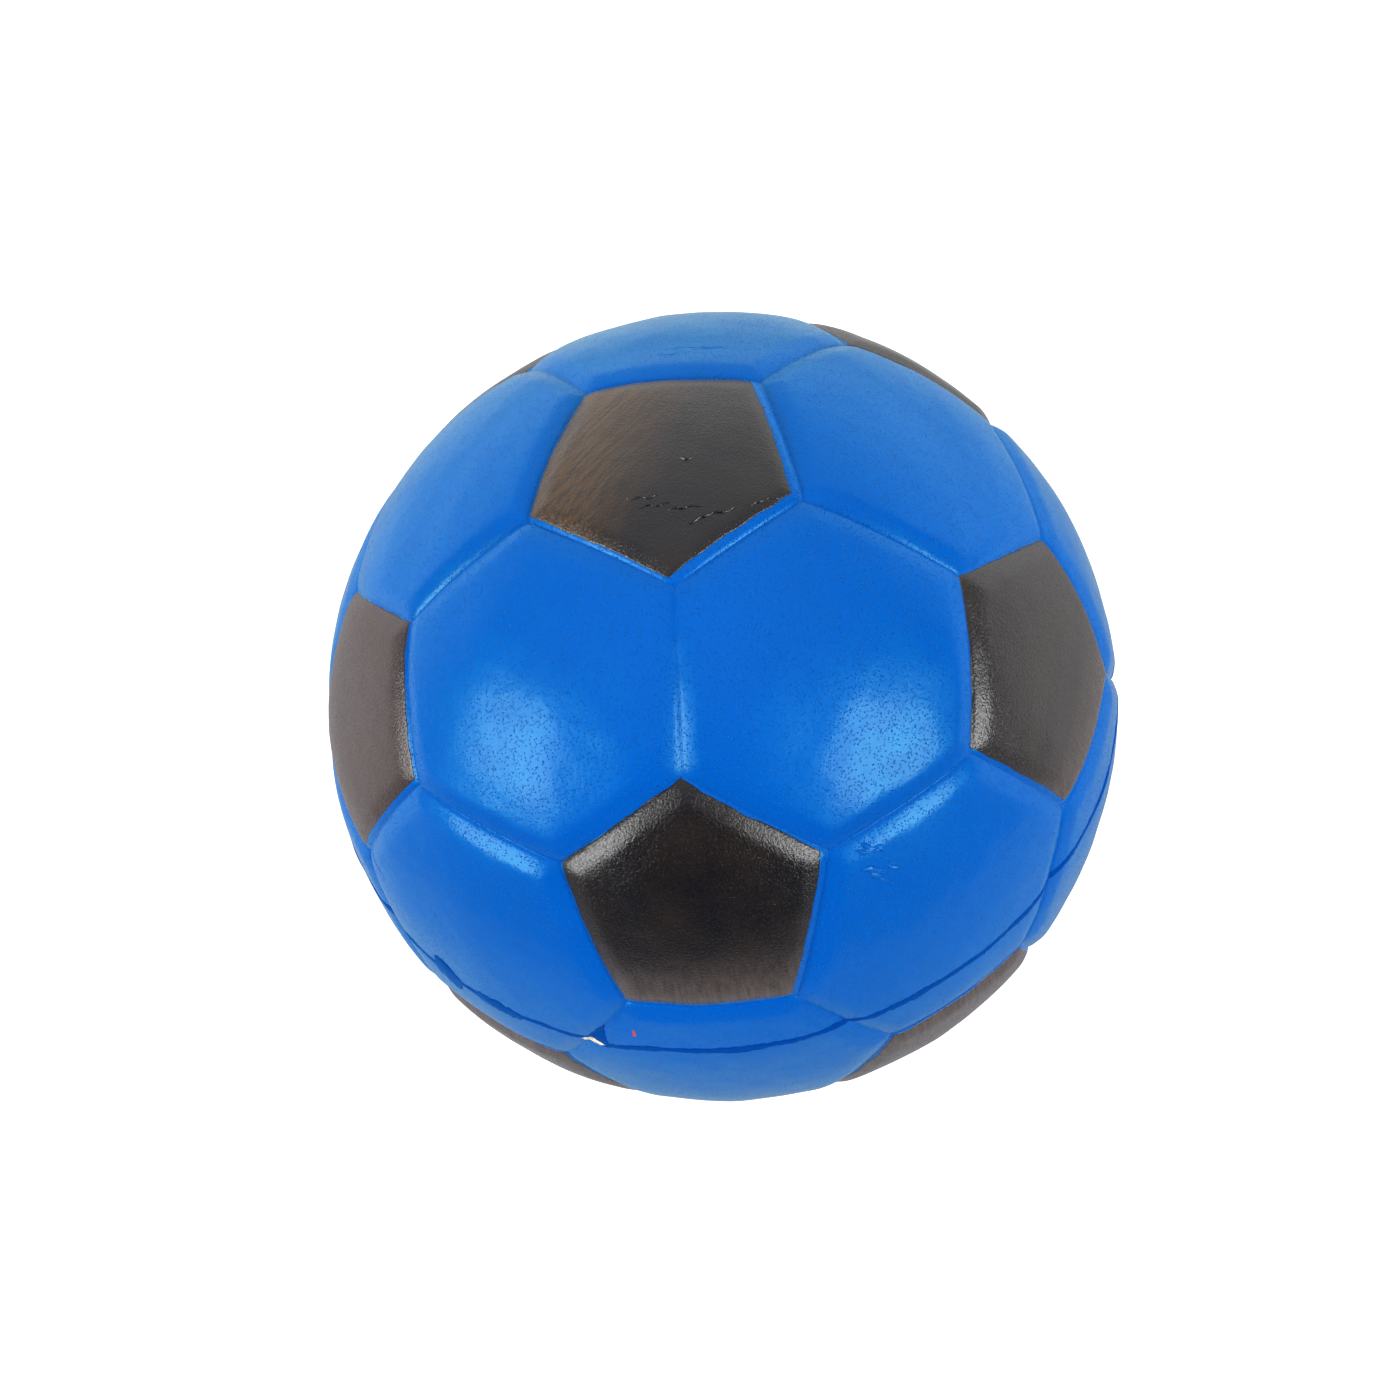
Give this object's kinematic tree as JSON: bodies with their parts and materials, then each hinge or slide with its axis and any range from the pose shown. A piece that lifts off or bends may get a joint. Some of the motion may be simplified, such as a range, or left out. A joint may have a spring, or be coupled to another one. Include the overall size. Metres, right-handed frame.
{
  "type": "stress ball",
  "caption": "Round foam squeeze ball with a moulded football-style panel pattern: blue hexagons, black painted pentagons, grooves between them and a trimmed parting line round the middle.",
  "frame": {"origin": "centre of the ball", "axes": "+Z along the mould's axis, through the middle of the top black panel; +X towards the first black panel of the upper belt; the parting line lies in the plane z = 0"},
  "size_m": [0.0632, 0.063, 0.0628],
  "materials": {
    "cream_foam": "matte",
    "blue_skin": "satin",
    "dark_blue_touch_up": "gloss",
    "black_paint": "satin"
  },
  "bodies": {
    "root": {"foam_core": "cream_foam", "skin_upper_half": "blue_skin", "skin_lower_half": "blue_skin", "parting_flash": "dark_blue_touch_up", "black_panel_top": "black_paint", "black_panel_upper_1": "black_paint", "black_panel_upper_2": "black_paint", "black_panel_upper_3": "black_paint", "black_panel_upper_4": "black_paint", "black_panel_upper_5": "black_paint", "black_panel_lower_1": "black_paint", "black_panel_lower_2": "black_paint", "black_panel_lower_3": "black_paint", "black_panel_lower_4": "black_paint", "black_panel_lower_5": "black_paint", "black_panel_bottom": "black_paint"}
  },
  "joints": []
}
